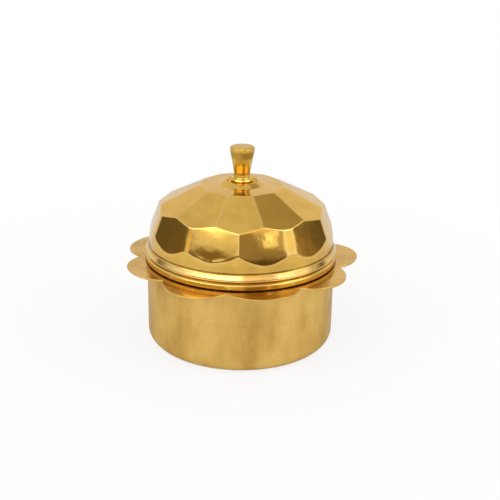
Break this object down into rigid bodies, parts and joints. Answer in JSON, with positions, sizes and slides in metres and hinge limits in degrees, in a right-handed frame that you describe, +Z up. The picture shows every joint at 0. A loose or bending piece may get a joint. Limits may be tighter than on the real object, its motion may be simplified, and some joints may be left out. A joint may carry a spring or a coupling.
{
  "type": "kumkum box",
  "caption": "Small round brass box for kumkum powder: straight cup with a flower-shaped ring at its mouth, and a lift-off faceted dome lid with a small turned knob.",
  "frame": {"origin": "centre of the cup's flat base, on the common axis of cup, ring, lid and knob", "axes": "+Z up along the common axis; the front that the picture shows is towards -Y, with +X to its right"},
  "size_m": [0.0618, 0.0619, 0.0529],
  "materials": {
    "satin_brass": "drawn brass sheet, rubbed to a satin with faint upright marks and slight tarnish",
    "sheet_brass": "flat rolled brass sheet, lightly polished",
    "polished_brass": "pressed brass sheet, buffed to a mirror",
    "turned_brass": "turned brass rod, polished"
  },
  "bodies": {
    "cup": {"cup_body": "satin_brass", "scalloped_flange": "sheet_brass"},
    "lid": {"lid_dome": "polished_brass", "knob": "turned_brass", "knob_washer": "sheet_brass"}
  },
  "joints": [
    {"name": "lid_lift", "type": "slide", "parent": "cup", "child": "lid", "axis": [0, 0, 1], "range_m": [0, 0.04]}
  ]
}
